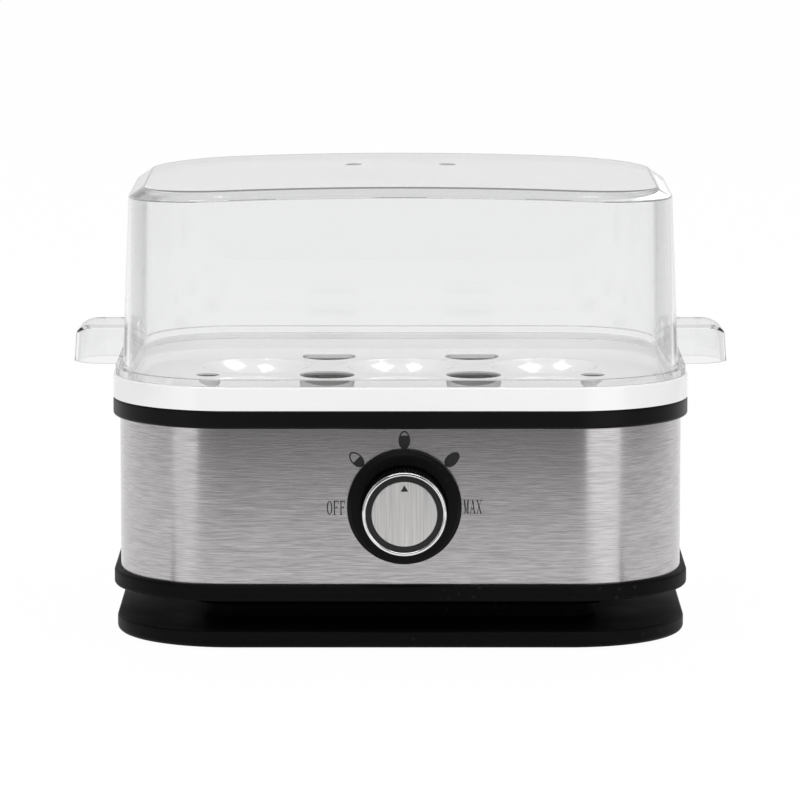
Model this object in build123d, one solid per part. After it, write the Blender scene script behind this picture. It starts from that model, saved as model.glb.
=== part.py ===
from build123d import *
import os
from math import cos, pi, sin, sqrt

# Electric egg cooker for six eggs, in millimetres, +Z up, its front towards -Y.
# The origin lies on the table, under the middle of the whole object's box.

# Plan of the body, shared by the lip, the upper ring and the rim of the egg tray
body_width = 197.0
body_depth = 146.6
body_radius = 41.0

# Heights of the stack, from the table up
foot_height = 1.2
plate_thickness = 5.6
core_height = 4.7
pan_drop = 5.8
lip_height = 5.6
shell_height = 53.2
ring_height = 6.2
tray_height = 7.9
flange_thickness = 2.4
lid_height = 61.1

# Walls and clearances
plastic_wall = 2.4
fit = 0.1
slip = 0.4
overrun = 1.0

# Foot plate, with the core of the groove that the cord is wound on
plate_inset = 1.0
plate_low_round = 1.8
plate_high_round = 0.8
core_inset = 31.0
core_radius = 12.0
foot_radius = 7.0
foot_seat = 1.0
foot_round = 0.6
foot_setback = 16.0

# Screws
screw_radius = 1.6
head_radius = 3.0
head_height = 2.4
head_round = 0.8
slot_length = 3.6
slot_width = 0.9
slot_depth = 1.2
screw_setback = 12.0
base_bite = 8.0
post_setback = 12.0
post_grip = 12.0
post_head_depth = 12.0

# Lower housing
lip_round = 1.0
pan_inset = 23.5
pan_radius = 18.0
pan_round = 4.0
spigot_height = 7.0
boss_radius = 4.2
gland_radius = 5.0
gland_flange = 1.5
gland_flange_height = 1.6
gland_bore = 3.2
gland_x = 40.0

# Steel sleeve
shell_inset = 2.3
shell_thickness = 0.8

# Upper ring, dish and seal
ring_round = 0.9
seat_depth = 2.2
seal_thickness = 1.0
dish_inset = 11.5
dish_flange = 4.0
dish_wall = 0.8
dish_depth = 13.5
dish_round = 5.0

# Heating element under the dish
element_radius = 3.2
element_leg = 20.0
element_bend_share = 0.8
element_bend_x = 60.0
element_end_x = 44.0
bead_step = 0.3
bead_length = 8.0
pin_radius = 1.6
pin_length = 5.0
clamp_thickness = 1.5
clamp_margin = 3.0
stud_radius = 2.0
stud_x = 26.0
stud_tip = 2.0
nut_across = 7.0
nut_height = 3.2
cutout_radius = 7.5
cutout_height = 9.0
blade_width = 4.0
blade_thickness = 0.8
blade_length = 6.0
blade_spread = 7.0

# Rotary control behind the front
control_width = 32.0
control_depth = 24.0
control_gap = 3.2
control_round = 2.0
stiffener_width = 44.0
stiffener_thickness = 1.2
bush_radius = 4.8
bush_proud = 0.8
bush_nut_across = 13.0
bush_nut_height = 2.4
shaft_radius = 3.0
shaft_slip = 0.08
shaft_flat = 1.5
shaft_sink = 9.0

# Bezel and knob, measured out from the steel front
bezel_radius = 19.3
bezel_height = 3.6
bezel_floor = 1.2
bezel_chamfer = 1.3
peg_radius = 1.2
peg_length = 1.8
peg_x = 11.0
knob_x = 1.3
knob_radius = 14.1
knob_reach = 17.0
knob_gap = 0.6
knurl_count = 64
knurl_depth = 0.55
chrome_depth = 4.6
chrome_wall = 1.2
chrome_round_share = 0.42
face_radius = 11.0
face_thickness = 1.0
face_recess = 0.6
insert_wall = 1.6
insert_roof = 1.2

# Small parts on the pan floor
buzzer_radius = 12.0
buzzer_height = 10.0
buzzer_hole = 2.0
buzzer_x = -30.0
buzzer_y = 14.0
block_length = 30.0
block_width = 16.0
block_cover = 1.6
block_x = 27.0
block_y = 20.0
block_hole = 2.2
block_ways = 3

# Inner leads
wire_radius = 1.2
wire_bend = 4.0
wire_run = 10.0
wire_rise = 6.0
wire_clear = 0.8

# Egg tray
tray_wall = 2.4
tray_deck = 2.3
deck_wall = 1.4
deck_lip = 0.6
tray_round = 3.0
tray_rim_round = 0.6
egg_column_share = 0.5885
egg_row = 23.6
cup_radius = 19.0
cup_sphere = 32.0
cup_wall = 1.8
cup_round = 1.6
hole_radius = 11.0
steam_radius = 9.6
steam_row = 48.0
steam_reach = 53.0
end_hole_radius = 4.2
end_hole_setback = 19.6
skirt_depth = 2.4
skirt_wall = 1.5

# Lid
flange_inset = 0.8
flange_round = 0.6
lid_inset = 3.3
lid_wall = 2.0
lid_draft = 2.2
lid_spigot = 2.0
crown_rise = 3.2
bevel_rise = 3.1
bevel_inset = 5.0
handle_reach = 113.8
handle_half_depth = 12.0
handle_height = 13.5
handle_corner = 11.4
handle_round = 7.0
handle_edge = 0.9
handle_taper = 4.0
handle_wall = 1.7
vent_radius = 3.0
vent_x = 16.4
vent_y = 20.0

# Levels worked out from the stack
z_plate = foot_height
z_plate_top = z_plate + plate_thickness
z_pan = z_plate_top + core_height
z_lip = z_pan + pan_drop
z_floor = z_lip + plastic_wall
z_shell = z_lip + lip_height
z_ring = z_shell + shell_height
z_rim = z_ring + ring_height
z_flange = z_rim + tray_height
z_wall = z_flange + flange_thickness
z_top = z_wall + lid_height + bevel_rise
z_knob = z_shell + shell_height / 2
z_join = z_knob
z_post_head = z_lip + post_head_depth
z_seat = z_rim - seat_depth
z_dish_flange = z_seat + seal_thickness
z_dish = z_rim - dish_depth
z_element = z_dish - fit - element_radius
z_clamp_top = z_element - element_radius - fit
z_clamp = z_clamp_top - clamp_thickness
z_pan_floor = z_pan + plastic_wall
z_boss = z_pan_floor + base_bite + plastic_wall
z_wire = z_boss + wire_clear + wire_radius
z_block = z_wire + block_cover
z_deck = z_rim + tray_deck

# Places worked out from the plan
face_y = shell_inset - body_depth / 2
front_reach = knob_reach - face_y
body_y = (front_reach - body_depth / 2) / 2
upstand_inset = shell_inset + shell_thickness + fit
lip_wall = upstand_inset + plastic_wall
post_radius = head_radius + slip + plastic_wall - fit
gland_y = body_depth / 2 - (pan_inset + lip_wall) / 2
front = Location((knob_x, face_y, z_knob), (90, 0, 0))
control_back = -(shell_thickness + stiffener_thickness)
control_height = 2 * (z_dish - z_knob - control_gap)
bush_reach = bezel_floor + bush_nut_height + bush_proud
control_rear_y = face_y - control_back + control_depth
egg_column = (body_width / 2 - dish_inset) * egg_column_share
end_hole_x = body_width / 2 - dish_inset - end_hole_setback
grounded = (Align.CENTER, Align.CENTER, Align.MIN)


def prism(sketch, low, high):
    return extrude(Pos(0, 0, low) * sketch, high - low)


def plan(inset):
    return RectangleRounded(body_width - 2 * inset, body_depth - 2 * inset, body_radius - inset)


def slab(inset, low, high):
    return prism(plan(inset), low, high)


def soft_slab(inset, low, high, low_round, high_round):
    part = slab(inset, low, high)
    part = fillet(part.faces().sort_by(Axis.Z)[0].edges(), low_round)
    return fillet(part.faces().sort_by(Axis.Z)[-1].edges(), high_round)


def wall(inset, thickness, low, high):
    return slab(inset, low, high) - slab(inset + thickness, low - overrun, high + overrun)


def block(inset, radius, low, high):
    sketch = RectangleRounded(body_width - 2 * inset, body_depth - 2 * inset, radius)
    return prism(sketch, low, high)


def dish_plan(inset):
    total = dish_inset + inset
    return SlotOverall(body_width - 2 * total, body_depth - 2 * total)


def disc(radius, low, high, spot=(0, 0)):
    return Pos(spot[0], spot[1], low) * Cylinder(radius, high - low, align=grounded)


def corner_spots(setback):
    reach = (body_radius - setback) * sqrt(0.5)
    x = body_width / 2 - body_radius + reach
    y = body_depth / 2 - body_radius + reach
    return [(x * sx, y * sy) for sx in (-1, 1) for sy in (-1, 1)]


def core_spots():
    x = body_width / 2 - core_inset - screw_setback
    y = body_depth / 2 - core_inset - screw_setback
    return [(x * sx, y * sy) for sx in (-1, 1) for sy in (-1, 1)]


def egg_spots():
    return [(egg_column * sx, egg_row * sy) for sx in (-1, 0, 1) for sy in (-1, 1)]


def steam_holes():
    """Round holes between the egg seats, flared below to a thin lip, the outer ones cut off flat."""
    places = [(egg_column / 2 * sx, steam_row * sy, steam_radius) for sx in (-1, 1) for sy in (-1, 0, 1)]
    places += [(end_hole_x * sx, 0, end_hole_radius) for sx in (-1, 1)]
    z_edge = z_deck - deck_lip
    flare = z_edge - z_rim
    cuts = Part()
    for x, y, radius in places:
        cuts += disc(radius, z_edge, z_deck + overrun, (x, y))
        cuts += Pos(x, y, z_rim) * Cone(radius + flare, radius, flare, align=grounded)
    return cuts & Pos(0, 0, z_rim) * Box(body_width, 2 * steam_reach, tray_height, align=grounded)


def stud_spots():
    return [(-stud_x, 0), (stud_x, 0)]


def peg_spots():
    return [(-peg_x, 0), (peg_x, 0)]


def screw(spot, seat, length):
    """A screw that points up, its head under the seat."""
    part = disc(head_radius, seat - head_height, seat, spot)
    part = fillet(part.faces().sort_by(Axis.Z)[0].edges(), head_round)
    part += disc(screw_radius, seat - head_round, seat + length, spot)
    for turn in (0, 90):
        slot = Rot(0, 0, turn) * Box(slot_length, slot_width, 2 * slot_depth)
        part -= Pos(spot[0], spot[1], seat - head_height) * slot
    return part


def foot_plate():
    part = soft_slab(plate_inset, z_plate, z_plate_top, plate_low_round, plate_high_round)
    part += block(core_inset, core_radius, z_plate_top - plastic_wall, z_pan)
    part -= slab(plate_inset + plastic_wall, z_plate - overrun, z_plate_top - plastic_wall)
    hollow = core_inset + plastic_wall
    part -= block(hollow, core_radius - plastic_wall, z_plate - overrun, z_pan - plastic_wall)
    for spot in corner_spots(foot_setback):
        part += disc(foot_radius + plastic_wall, z_plate, z_plate_top - plastic_wall / 2, spot)
        part -= disc(foot_radius + fit, z_plate - overrun, z_plate + foot_seat, spot)
    for spot in core_spots():
        part -= disc(screw_radius + slip, z_plate, z_pan + overrun, spot)
    return part


def rubber_feet():
    feet = []
    for spot in corner_spots(foot_setback):
        foot = disc(foot_radius, 0, z_plate + foot_seat, spot)
        feet.append(fillet(foot.faces().sort_by(Axis.Z)[0].edges(), foot_round))
    return Compound(feet)


def base_screws():
    length = 2 * plastic_wall + base_bite
    return Compound([screw(spot, z_pan - plastic_wall, length) for spot in core_spots()])


def lower_housing():
    part = soft_slab(0, z_lip, z_shell, lip_round, lip_round)
    part -= slab(lip_wall, z_floor, z_shell + overrun)
    part += wall(upstand_inset, plastic_wall, z_floor, z_shell + spigot_height)
    pan = block(pan_inset, pan_radius, z_pan, z_floor)
    part += fillet(pan.faces().sort_by(Axis.Z)[0].edges(), pan_round)
    hollow = pan_inset + plastic_wall
    part -= block(hollow, pan_radius - plastic_wall, z_pan_floor, z_floor + overrun)
    for spot in core_spots():
        part += disc(boss_radius, z_pan + plastic_wall / 2, z_boss, spot)
        part -= disc(screw_radius + fit, z_pan - overrun, z_boss - plastic_wall + fit, spot)
    for spot in corner_spots(post_setback):
        part += disc(post_radius, z_lip + plastic_wall / 2, z_join, spot)
        part -= disc(screw_radius + slip, z_lip - overrun, z_join + overrun, spot)
        part -= disc(head_radius + slip, z_lip - overrun, z_post_head, spot)
    part -= disc(gland_radius + fit, z_lip - overrun, z_floor + overrun, (gland_x, gland_y))
    return part


def ring_screws():
    length = z_join - z_post_head + post_grip
    return Compound([screw(spot, z_post_head, length) for spot in corner_spots(post_setback)])


def cord_gland():
    spot = (gland_x, gland_y)
    part = disc(gland_radius, z_lip - gland_flange_height, z_floor + gland_flange_height, spot)
    collar = gland_radius + gland_flange
    part += disc(collar, z_lip - gland_flange_height, z_lip, spot)
    part += disc(collar, z_floor, z_floor + gland_flange_height, spot)
    return part - disc(gland_bore, z_lip - pan_drop, z_shell + spigot_height, spot)


def steel_shell():
    part = wall(shell_inset, shell_thickness, z_shell, z_ring)
    part -= front * disc(bush_radius + fit, -shell_thickness - overrun, overrun)
    for spot in peg_spots():
        part -= front * disc(peg_radius + fit, -shell_thickness - overrun, overrun, spot)
    return part


def upper_ring():
    part = soft_slab(0, z_ring, z_rim, ring_round, ring_round)
    part -= prism(dish_plan(-slip), z_ring - overrun, z_rim + overrun)
    part -= prism(dish_plan(-dish_flange - slip), z_seat, z_rim + overrun)
    part += wall(upstand_inset, plastic_wall, z_ring - spigot_height, z_ring + plastic_wall / 2)
    for spot in corner_spots(post_setback):
        part += disc(post_radius, z_join, z_ring + plastic_wall / 2, spot)
        part -= disc(screw_radius + fit, z_join - overrun, z_join + post_grip + fit, spot)
    return part


def dish_seal():
    part = prism(dish_plan(-dish_flange), z_seat, z_dish_flange)
    return part - prism(dish_plan(-slip), z_seat - overrun, z_dish_flange + overrun)


def heating_dish():
    part = prism(dish_plan(0), z_dish, z_dish_flange + dish_wall)
    part = fillet(part.faces().sort_by(Axis.Z)[0].edges(), dish_round)
    part += prism(dish_plan(-dish_flange), z_dish_flange, z_dish_flange + dish_wall)
    hollow = prism(dish_plan(dish_wall), z_dish + dish_wall, z_rim)
    part -= fillet(hollow.faces().sort_by(Axis.Z)[0].edges(), dish_round - dish_wall)
    low = z_clamp - nut_height - stud_tip
    for spot in stud_spots():
        part += disc(stud_radius, low, z_dish + dish_wall / 2, spot)
    return part


def heating_element():
    ends = [(element_end_x, element_leg, z_element), (-element_bend_x, element_leg, z_element)]
    ends += [(x, -y, z) for x, y, z in reversed(ends)]
    path = FilletPolyline(*ends, radius=element_leg * element_bend_share)
    return sweep((path ^ 0) * Circle(element_radius), path=path)


def element_terminals():
    pins = []
    for side in (-1, 1):
        pin = disc(element_radius - bead_step, 0, bead_length)
        pin += disc(pin_radius, 0, bead_length + pin_length)
        pins.append(Pos(element_end_x, side * element_leg, z_element) * Rot(0, 90, 0) * pin)
    return Compound(pins)


def element_clamp():
    length = element_end_x + element_bend_x - 2 * clamp_margin
    width = 2 * (element_leg + element_radius + clamp_margin)
    middle = (element_end_x - element_bend_x) / 2
    part = Pos(middle, 0, z_clamp) * Box(length, width, clamp_thickness, align=grounded)
    for spot in stud_spots():
        part -= disc(stud_radius + fit, z_clamp - overrun, z_clamp_top + overrun, spot)
    return part


def clamp_nuts():
    nuts = []
    for spot in stud_spots():
        hexagon = RegularPolygon(nut_across / 2, 6, major_radius=False) - Circle(stud_radius + fit)
        nuts.append(Pos(spot[0], spot[1], 0) * prism(hexagon, z_clamp - nut_height, z_clamp))
    return Compound(nuts)


def thermal_cutout():
    part = disc(cutout_radius, z_clamp - cutout_height, z_clamp)
    for side in (-1, 1):
        blade = Box(blade_thickness, blade_width, 2 * blade_length)
        part += Pos(side * blade_spread / 2, 0, z_clamp - cutout_height) * blade
    return part


def rotary_control():
    part = Pos(0, 0, control_back - control_depth / 2) * Box(control_width, control_height, control_depth)
    part = fillet(part.edges().filter_by(Axis.Z), control_round)
    part += disc(bush_radius, control_back - overrun, bush_reach)
    part -= disc(shaft_radius + shaft_slip, control_back - shaft_sink, bush_reach + overrun)
    return front * part


def control_plate():
    height = shell_height - 2 * (spigot_height + slip)
    part = Pos(0, 0, control_back) * Box(stiffener_width, height, stiffener_thickness, align=grounded)
    part -= disc(bush_radius + fit, control_back - overrun, overrun)
    for spot in peg_spots():
        part -= disc(peg_radius + fit, control_back - overrun, overrun, spot)
    return front * part


def knob_bezel():
    part = disc(bezel_radius, 0, bezel_height)
    part = chamfer(part.faces().sort_by(Axis.Z)[-1].edges(), bezel_chamfer)
    part -= disc(knob_radius + knob_gap, bezel_floor, bezel_height + overrun)
    for spot in peg_spots():
        part += disc(peg_radius, -peg_length, bezel_floor / 2, spot)
    part -= disc(bush_radius + fit, -overrun, bezel_height)
    return front * part


def bush_nut():
    hexagon = RegularPolygon(bush_nut_across / 2, 6, major_radius=False) - Circle(bush_radius + fit)
    return front * prism(hexagon, bezel_floor, bezel_floor + bush_nut_height)


# Levels inside the knob, out from the steel front
knob_low = bezel_floor + knob_gap
chrome_low = knob_reach - chrome_depth
face_seat = knob_reach - face_recess - face_thickness
cavity_top = bush_reach + knob_gap
cavity_radius = bush_nut_across / sqrt(3) + knob_gap
insert_top = face_seat - insert_roof
insert_radius = shaft_radius + fit + insert_wall
core_of_knob = knob_radius - chrome_wall - fit


def d_profile(radius, flat):
    """A round profile cut off level, so that what it carries can't turn on it."""
    return Circle(radius) - Pos(0, flat + radius) * Rectangle(2 * radius + overrun, 2 * radius)


def knurl():
    """The toothed outline of the grip."""
    points = []
    for step in range(2 * knurl_count):
        radius = knob_radius - fit - (step % 2) * knurl_depth
        angle = step * pi / knurl_count
        points.append((radius * cos(angle), radius * sin(angle)))
    return make_face(Polyline(*points, close=True))


def knob_grip():
    part = prism(knurl(), knob_low, chrome_low)
    part += disc(core_of_knob, knob_low, knob_reach - face_recess)
    part -= disc(face_radius + fit, face_seat, knob_reach)
    part -= disc(cavity_radius, knob_low - overrun, cavity_top)
    part -= disc(insert_radius + fit, knob_low, insert_top)
    return front * part


def knob_chrome_ring():
    part = disc(knob_radius, chrome_low, knob_reach)
    part -= disc(knob_radius - chrome_wall, chrome_low - overrun, knob_reach + overrun)
    part = fillet(part.faces().sort_by(Axis.Z)[-1].edges(), chrome_wall * chrome_round_share)
    return front * part


def knob_face():
    return front * disc(face_radius, face_seat, face_seat + face_thickness)


def knob_insert():
    bore = d_profile(shaft_radius + fit, shaft_flat + fit)
    return front * prism(Circle(insert_radius) - bore, cavity_top, insert_top)


def knob_shaft():
    part = disc(shaft_radius, control_back - shaft_sink + fit, bush_reach)
    part += prism(d_profile(shaft_radius, shaft_flat), bush_reach - fit, insert_top - fit)
    return front * part


def buzzer():
    spot = (buzzer_x, buzzer_y)
    part = disc(buzzer_radius, z_pan_floor, z_pan_floor + buzzer_height, spot)
    return part - disc(buzzer_hole, z_pan_floor + plastic_wall, z_pan_floor + buzzer_height + overrun, spot)


def terminal_block():
    part = prism(Pos(block_x, block_y) * Rectangle(block_length, block_width), z_pan_floor, z_block)
    low = (z_pan_floor + z_block) / 2
    for way in range(block_ways):
        x = block_x + (way - (block_ways - 1) / 2) * block_length / block_ways
        part -= disc(block_hole, low, z_block + overrun, (x, block_y))
    return part


def lead(*points):
    """A wire that runs straight from point to point with round bends."""
    path = FilletPolyline(*points, radius=wire_bend)
    return sweep((path ^ 0) * Circle(wire_radius), path=path)


def wire_supply():
    x = (block_x - block_length / 2 + knob_x + control_width / 2) / 2
    y = block_y - block_width / 2
    high = z_knob - wire_rise
    start = (x, y, z_wire)
    bend = (x, y - wire_run, z_wire)
    turn = (x, control_rear_y + wire_run, high)
    return lead(start, bend, turn, (x, control_rear_y, high))


def wire_switched():
    x = knob_x - control_width / 4
    high = z_knob + wire_rise
    y = control_rear_y + wire_run
    tip = element_end_x + bead_length + pin_length
    out = tip + wire_run
    start = (x, control_rear_y, high)
    end = (tip, -element_leg, z_element)
    return lead(start, (x, y, high), (out, y, high), (out, -element_leg, z_element), end)


def wire_return():
    tip = element_end_x + bead_length + pin_length
    out = tip + wire_run
    start = (tip, element_leg, z_element)
    end = (block_x + block_length / 2, element_leg, z_wire)
    return lead(start, (out, element_leg, z_element), (out, element_leg, z_wire), end)


def egg_tray():
    part = slab(0, z_rim, z_flange)
    well = slab(tray_wall, z_deck, z_flange + overrun)
    part -= fillet(well.faces().sort_by(Axis.Z)[0].edges(), tray_round)
    part = fillet(part.faces().sort_by(Axis.Z)[-1].edges(), tray_rim_round)
    skirt = prism(dish_plan(dish_wall + slip), z_rim - skirt_depth, z_rim + tray_deck / 2)
    skirt -= prism(dish_plan(dish_wall + slip + skirt_wall), z_rim - skirt_depth - overrun, z_deck)
    part += skirt
    part -= prism(dish_plan(dish_wall + slip + skirt_wall), z_rim - overrun, z_deck - deck_wall)
    part -= steam_holes()
    rise = sqrt(cup_sphere**2 - cup_radius**2)
    low = z_deck + rise - cup_sphere - cup_wall
    for x, y in egg_spots():
        cup = Pos(x, y, z_deck + rise) * Sphere(cup_sphere + cup_wall)
        part += cup & disc(cup_radius + cup_wall, low, z_deck, (x, y))
    # Each bowl is cut up to the circle where its rounded rim begins, and the rim above it
    rim_reach = sqrt((cup_sphere + cup_round)**2 - (rise + cup_round)**2)
    z_turn = z_deck + rise - (rise + cup_round) * cup_sphere / (cup_sphere + cup_round)
    for x, y in egg_spots():
        part -= Pos(x, y, z_deck + rise) * Sphere(cup_sphere) & disc(rim_reach, low, z_turn, (x, y))
        rim = Pos(x, y, z_deck - cup_round) * Torus(rim_reach, cup_round)
        part -= disc(rim_reach, z_turn, z_deck + fit, (x, y)) - rim
        part -= disc(hole_radius, low - overrun, z_deck + overrun, (x, y))
    return part


def dome(inset, drop):
    """The lid's form: drafted sides, a top that is crowned across the width, and a bevelled edge."""
    height = lid_height + bevel_rise + overrun
    sides = extrude(Pos(0, 0, z_wall) * plan(inset), height, taper=lid_draft)
    half = body_width / 2
    radius = (half**2 + crown_rise**2) / (2 * crown_rise)
    crown = Pos(0, 0, z_top - drop - radius) * Rot(90, 0, 0) * Cylinder(radius, body_depth + overrun)
    part = sides & crown
    top = part.faces().sort_by(Axis.Z)[-1]
    return chamfer(top.edges(), bevel_inset, bevel_rise, reference=top)


def handle_bar(inset, low):
    """Both handles as one bar across the body: a tapered plan, cut by a profile with rounded ends."""
    reach = handle_reach - inset
    height = handle_height - inset
    sketch = RectangleRounded(2 * reach, 2 * (handle_half_depth - inset), handle_corner - inset)
    bar = extrude(Pos(0, 0, low) * sketch, z_flange + height - low, taper=handle_taper)
    profile = Rot(90, 0, 0) * RectangleRounded(2 * reach, 2 * height, handle_round - inset)
    return bar & extrude(Pos(0, 0, z_flange) * profile, handle_half_depth, both=True)


def handles():
    """The bar with the edges along its front and back rounded."""
    bar = handle_bar(0, z_flange)
    high = bar.edges().filter_by(lambda edge: edge.center().Z > z_flange + handle_height / 2)
    along = high.filter_by(lambda edge: abs(edge.center().Y) > handle_half_depth / 4)
    return fillet(along, handle_edge)


def lid():
    outer = dome(lid_inset, 0)
    flange = soft_slab(flange_inset, z_flange, z_wall, flange_round, flange_round)
    spigot = tray_wall + slip
    part = outer + flange + slab(spigot, z_flange - lid_spigot, z_wall)
    part += handles()
    part -= handle_bar(handle_wall, z_flange - overrun) - outer - flange - slab(spigot, 0, z_wall)
    part -= dome(lid_inset + lid_wall, lid_wall)
    part -= slab(spigot + lid_wall, z_flange - lid_spigot - overrun, z_wall)
    for side in (-1, 1):
        part -= disc(vent_radius, z_top - lid_wall - bevel_rise, z_top + overrun, (side * vent_x, vent_y))
    return part


makers = [
    foot_plate, rubber_feet, base_screws, lower_housing, ring_screws, cord_gland, steel_shell,
    upper_ring, dish_seal, heating_dish, heating_element, element_terminals, element_clamp,
    clamp_nuts, thermal_cutout, rotary_control, control_plate, knob_bezel, bush_nut, knob_grip,
    knob_chrome_ring, knob_face, knob_insert, knob_shaft, buzzer, terminal_block, wire_supply,
    wire_switched, wire_return, egg_tray, lid,
]
os.makedirs("parts", exist_ok=True)
for maker in makers:
    name = maker.__name__
    export_step(Pos(0, body_y, 0) * maker(), f"parts/{name}.step")
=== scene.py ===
"""Electric egg cooker: finishes, clear lid, knob, dial prints and a plain studio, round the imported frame."""

import math

import bmesh
import bpy
from bpy.props import FloatProperty, FloatVectorProperty, IntProperty, PointerProperty
from mathutils import Matrix, Vector


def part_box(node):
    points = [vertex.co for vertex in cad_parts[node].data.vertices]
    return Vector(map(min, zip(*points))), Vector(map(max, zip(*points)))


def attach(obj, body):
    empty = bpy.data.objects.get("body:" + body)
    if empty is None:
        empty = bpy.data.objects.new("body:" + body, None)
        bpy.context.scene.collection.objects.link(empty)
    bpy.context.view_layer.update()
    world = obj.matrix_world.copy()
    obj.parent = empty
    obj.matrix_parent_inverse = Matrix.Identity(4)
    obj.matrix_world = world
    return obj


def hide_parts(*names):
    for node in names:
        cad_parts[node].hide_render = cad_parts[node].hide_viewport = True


bl_info = {
    "name": "Egg Cooker",
    "version": (1, 0, 0),
    "blender": (4, 5, 0),
    "location": "View3D > Sidebar > Egg Cooker",
    "description": "Finishes, lid, knob, dial prints and stage of a six-egg cooker",
    "category": "Object",
}

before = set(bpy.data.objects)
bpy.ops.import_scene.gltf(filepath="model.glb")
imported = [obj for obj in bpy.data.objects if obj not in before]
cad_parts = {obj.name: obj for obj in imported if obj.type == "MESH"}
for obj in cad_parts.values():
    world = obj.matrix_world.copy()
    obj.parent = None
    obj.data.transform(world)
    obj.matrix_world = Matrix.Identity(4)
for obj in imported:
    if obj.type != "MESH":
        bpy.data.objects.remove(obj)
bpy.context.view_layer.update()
MM = 0.001
TINY = 1e-6

RING_LOW, RING_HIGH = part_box("upper_ring")
LID_LOW, LID_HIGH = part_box("lid")
DISC_LOW, DISC_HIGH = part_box("knob_face")
HALF_WIDTH = RING_HIGH.x
HALF_DEPTH = (RING_HIGH.y - RING_LOW.y) / 2
MID_Y = (RING_HIGH.y + RING_LOW.y) / 2
FRONT_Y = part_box("steel_shell")[0].y
KNOB_X = (DISC_LOW.x + DISC_HIGH.x) / 2
KNOB_Z = (DISC_LOW.z + DISC_HIGH.z) / 2


def number(name, text, default, **kind):
    return FloatProperty(name=name, description=text, default=default, **kind)


def length(name, text, default):
    return number(name, text, default, unit="LENGTH", subtype="DISTANCE", precision=5)


def angle(name, text, degrees):
    return number(name, text, math.radians(degrees), subtype="ANGLE")


def power(name, text, default):
    return number(name, text, default, unit="POWER")


def colour(name, text, default):
    return FloatVectorProperty(name=name, description=text, default=default, size=3, subtype="COLOR", min=0, max=1)


class CookerSizes(bpy.types.PropertyGroup):
    """Sizes of the pieces that this file models."""

    plan_radius: length("Plan radius", "Corner radius of the body's plan", 41.0 * MM)
    corner_steps: IntProperty(name="Corner steps", description="Edges in each rounded corner", default=24)
    flange_inset: length("Flange inset", "Lid flange inside the body's plan", 0.8 * MM)
    flange_height: length("Flange height", "Thickness of the lid's flange", 2.4 * MM)
    spigot_inset: length("Spigot inset", "Rim that drops into the tray", 2.8 * MM)
    spigot_drop: length("Spigot drop", "How far that rim drops", 2.0 * MM)
    lid_inset: length("Lid inset", "Lid wall inside the body's plan", 3.3 * MM)
    lid_wall: length("Lid wall", "Thickness of the clear plastic", 2.0 * MM)
    lid_draft: angle("Lid draft", "Slope of the lid's wall", 2.2)
    crown: length("Crown", "How far the lid's top falls off to its ends", 3.2 * MM)
    bevel_rise: length("Bevel rise", "Height of the lid's bevelled edge", 3.1 * MM)
    bevel_inset: length("Bevel inset", "Width of the lid's bevelled edge", 5.0 * MM)
    top_share: number("Top share", "Thickness of the lid's top, as a share of its wall", 0.6, subtype="FACTOR")
    edge_drop: length("Edge drop", "How far the lid's inner edge lies below its outer edge", 0.4 * MM)
    lid_round: length("Lid rounding", "Rounding of the lid's edges", 0.14 * MM)
    handle_depth: length("Handle depth", "Half the width of a handle", 12.0 * MM)
    handle_height: length("Handle height", "Height of a handle", 13.5 * MM)
    handle_corner: length("Handle corner", "Rounding of a handle in plan", 11.4 * MM)
    handle_round: length("Handle rounding", "Rounding of a handle's tip from the side", 7.0 * MM)
    handle_edge: length("Handle edge", "Rounding along a handle's front and back edge", 0.5 * MM)
    handle_taper: angle("Handle taper", "Slope of a handle's sides", 4.0)
    handle_wall: length("Handle wall", "Thickness of a handle", 1.7 * MM)
    vent_radius: length("Vent radius", "Steam hole in the lid's top", 3.0 * MM)
    vent_x: length("Vent spread", "Steam hole from the middle, across", 16.4 * MM)
    vent_y: length("Vent setback", "Steam hole behind the middle", 20.0 * MM)
    ink: length("Ink", "Thickness of a print", 0.05 * MM)
    mark_radius: length("Mark radius", "Egg marks from the knob's middle", 22.7 * MM)
    word_radius: length("Word radius", "Words from the knob's middle", 23.0 * MM)
    letter_height: length("Letter height", "Height of the words", 4.7 * MM)
    egg_height: length("Egg mark height", "Height of an egg mark", 6.2 * MM)
    egg_width: length("Egg mark width", "Width of an egg mark", 3.9 * MM)
    egg_line: length("Egg mark line", "Line width of an egg mark", 0.45 * MM)
    pointer_radius: length("Pointer radius", "Pointer from the knob's middle", 8.4 * MM)
    pointer_size: length("Pointer size", "Size of the pointer", 1.45 * MM)


class CookerColours(bpy.types.PropertyGroup):
    """Colours of the finishes."""

    black: colour("Black plastic", "Pedestal, housing and ring", (0.0038, 0.0034, 0.0035))
    knob_black: colour("Knob black", "Grip of the knob", (0.0032, 0.003, 0.003))
    rubber: colour("Rubber", "Feet and gland", (0.012, 0.012, 0.012))
    steel: colour("Brushed steel", "Body of the cooker", (0.475, 0.460, 0.464))
    knob_steel: colour("Knob steel", "Brushed disc of the knob", (0.76, 0.75, 0.745))
    dish_steel: colour("Dish steel", "Water dish", (0.55, 0.545, 0.53))
    chrome: colour("Chrome", "Bright ring of the knob", (0.78, 0.78, 0.79))
    white: colour("White plastic", "Egg tray", (0.87, 0.865, 0.865))
    clear: colour("Clear plastic", "Lid", (0.945, 0.947, 0.95))
    ink: colour("Ink", "Prints", (0.006, 0.006, 0.006))


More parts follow.
